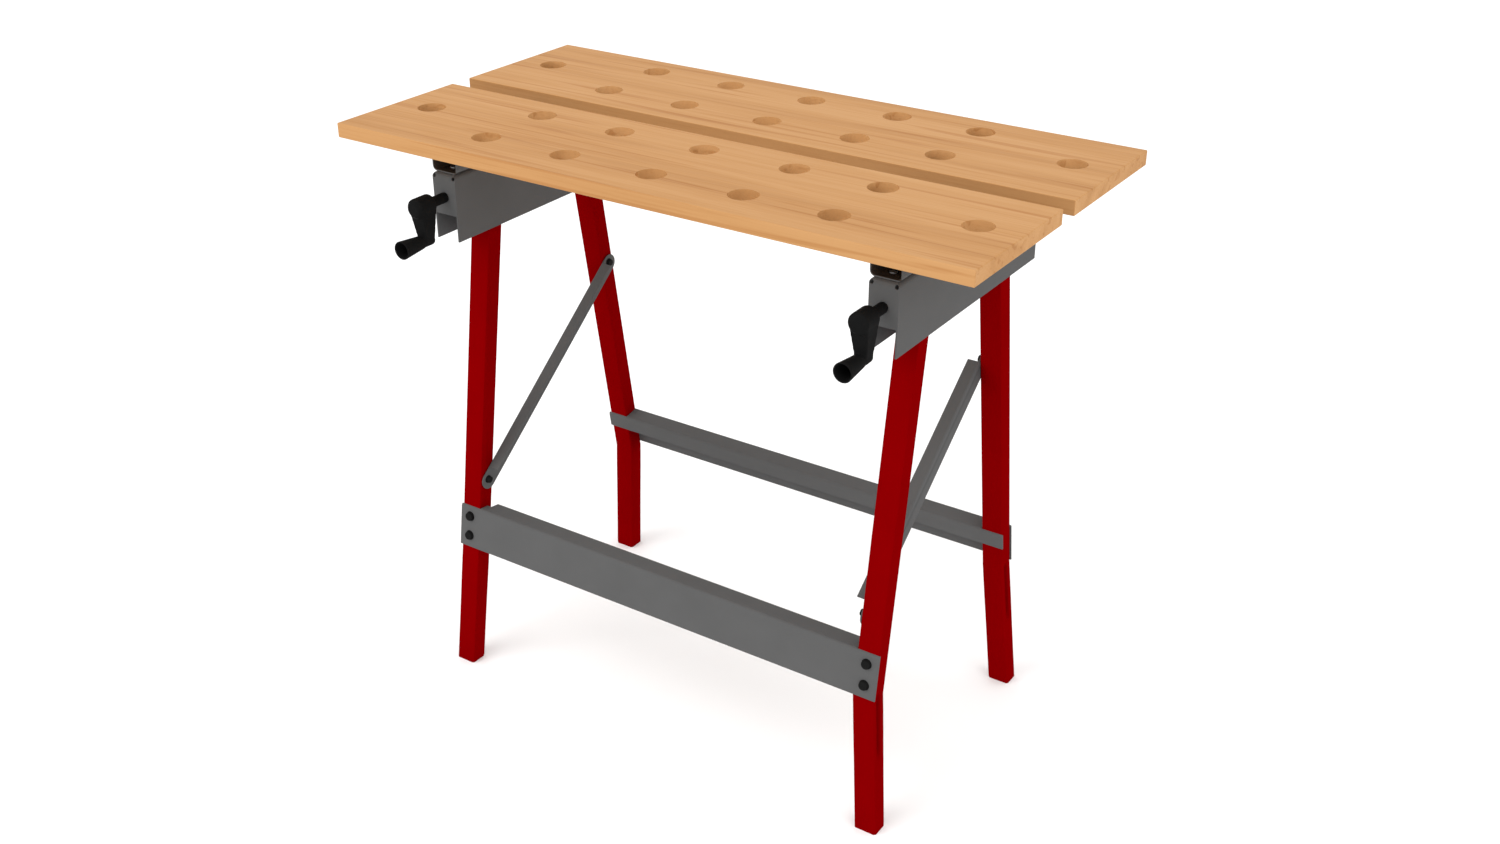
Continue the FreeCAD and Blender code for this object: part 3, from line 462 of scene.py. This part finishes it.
VOXEL_SIZE = 0.0009
RELAX_FACTOR, RELAX_TURNS = 0.5, 9


def baked(item):
    """The mesh of an object with its modifiers applied."""
    view = bpy.context.evaluated_depsgraph_get()
    return bpy.data.meshes.new_from_object(item.evaluated_get(view))


def moulded_mesh(node):
    """The CAD shape remeshed and relaxed, so that hub, arm and boss flow into each other."""
    rough = bpy.data.objects.new("rough", node.data.copy())
    bpy.context.scene.collection.objects.link(rough)
    remesh = rough.modifiers.new("voxels", "REMESH")
    remesh.mode = "VOXEL"
    remesh.voxel_size = VOXEL_SIZE
    relax = rough.modifiers.new("relax", "SMOOTH")
    relax.factor = RELAX_FACTOR
    relax.iterations = RELAX_TURNS
    mesh = baked(rough)
    bpy.data.objects.remove(rough)
    mesh.shade_smooth()
    return mesh


for side, _ in SIDES:
    stand_in(f"{side}_crank_moulding", moulded_mesh(NODES[f"{side}_crank_arm"]), f"{side}_crank_arm")


# ---- lead screws with their thread ----

SCREW_RADIUS, SCREW_SEGMENTS = 0.005, 32
THREAD_PITCH, THREAD_DEPTH, THREAD_STEP = 0.004, 0.0009, 0.0005
GROOVE_RISE, GROOVE_FALL = (0.12, 0.32), (0.68, 0.88)
COLLAR_CLEARANCE, THREAD_END = 0.001, 0.001
SHANK_STEP = 0.02
CHAMFER_LENGTH, CHAMFER_DEPTH, LAST_ROW = 0.0005, 0.0006, 0.0006


def stations(start, end, step):
    """Values from a start up to an end, a step apart."""
    spot = start
    while spot < end:
        yield spot
        spot += step


def threaded_mesh(node, collar):
    """A rod whose rear part carries a 4 mm trapezoidal thread."""
    low, high = (Vector(corner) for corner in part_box(node.name))
    centre = (low + high) / 2
    thread_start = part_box(collar)[1][1] + COLLAR_CLEARANCE
    rows = [low.y, low.y + CHAMFER_LENGTH]
    rows += stations(low.y + SHANK_STEP, thread_start, SHANK_STEP)
    rows += stations(thread_start, high.y - LAST_ROW, THREAD_STEP)
    rows += [high.y - CHAMFER_LENGTH, high.y]
    shape = bmesh.new()
    rings = []
    for y in rows:
        chamfer = CHAMFER_DEPTH if y in (low.y, high.y) else 0.0
        threaded = thread_start < y < high.y - THREAD_END
        loop = []
        for step in range(SCREW_SEGMENTS):
            angle = 2 * math.pi * step / SCREW_SEGMENTS
            turn = ((y - thread_start) / THREAD_PITCH - step / SCREW_SEGMENTS) % 1.0
            groove = THREAD_DEPTH * hump(GROOVE_RISE, GROOVE_FALL, turn) if threaded else 0.0
            reach = SCREW_RADIUS - max(groove, chamfer)
            x, z = centre.x + reach * math.cos(angle), centre.z + reach * math.sin(angle)
            loop.append(shape.verts.new((x, y, z)))
        rings.append(loop)
    for loop, following in zip(rings, rings[1:]):
        for step in range(SCREW_SEGMENTS):
            after = (step + 1) % SCREW_SEGMENTS
            shape.faces.new((loop[step], loop[after], following[after], following[step]))
    shape.faces.new(list(reversed(rings[0])))
    shape.faces.new(rings[-1])
    bmesh.ops.recalc_face_normals(shape, faces=shape.faces)
    mesh = bpy.data.meshes.new(node.name)
    shape.to_mesh(mesh)
    shape.free()
    smooth_by_angle(mesh, 40)
    return mesh


for side, _ in SIDES:
    node = NODES[f"{side}_lead_screw"]
    stand_in(f"{side}_threaded_rod", threaded_mesh(node, f"{side}_screw_collar"), node.name)


# ---- floor, light and camera ----

WORLD_STRENGTH = 1.12
FLOOR_HALF_SIDE = 30.0
FLOOR_COLOUR = (0.97, 0.97, 0.97, 1.0)
LAMP_TARGET = Vector((0, 0, 0.5))
LAMP_SIZE = 3.0
LAMP_PLACES_AND_POWERS = {"key": ((-1.5, -3.2, 3.6), 80.0), "fill": ((3.6, -0.8, 2.4), 30.0)}
FOCAL_LENGTH, SENSOR_WIDTH = 39.84, 36.0
CAMERA_PLACE = (1.10235, -1.61268, 1.41364)
CAMERA_TILT, CAMERA_TURN = math.radians(62.63), math.radians(33.44)


def studio():
    scene = bpy.context.scene
    scene.view_settings.view_transform = "Standard"
    world = bpy.data.worlds.new("studio")
    world.use_nodes = True
    background = world.node_tree.nodes["Background"]
    background.inputs["Color"].default_value = (1.0, 1.0, 1.0, 1.0)
    background.inputs["Strength"].default_value = WORLD_STRENGTH
    scene.world = world
    mesh = bpy.data.meshes.new("floor")
    half = FLOOR_HALF_SIDE
    corners = [(-half, -half, 0), (half, -half, 0), (half, half, 0), (-half, half, 0)]
    mesh.from_pydata(corners, [], [(0, 1, 2, 3)])
    floor = bpy.data.objects.new("floor", mesh)
    scene.collection.objects.link(floor)
    pale, _, shader = new_material("pale_floor", 0.9, 0.0)
    shader.inputs["Base Color"].default_value = FLOOR_COLOUR
    mesh.materials.append(pale)
    for label, (spot, power) in LAMP_PLACES_AND_POWERS.items():
        lamp = bpy.data.lights.new(label, "AREA")
        lamp.energy = power
        lamp.size = LAMP_SIZE
        item = bpy.data.objects.new(label, lamp)
        item.location = spot
        item.rotation_euler = (LAMP_TARGET - Vector(spot)).to_track_quat("-Z", "Y").to_euler()
        item.visible_camera = False
        scene.collection.objects.link(item)
    lens = bpy.data.cameras.new("camera")
    lens.lens = FOCAL_LENGTH
    lens.sensor_width = SENSOR_WIDTH
    camera = bpy.data.objects.new("camera", lens)
    camera.location = CAMERA_PLACE
    camera.rotation_euler = (CAMERA_TILT, 0.0, CAMERA_TURN)
    scene.collection.objects.link(camera)
    scene.camera = camera


studio()
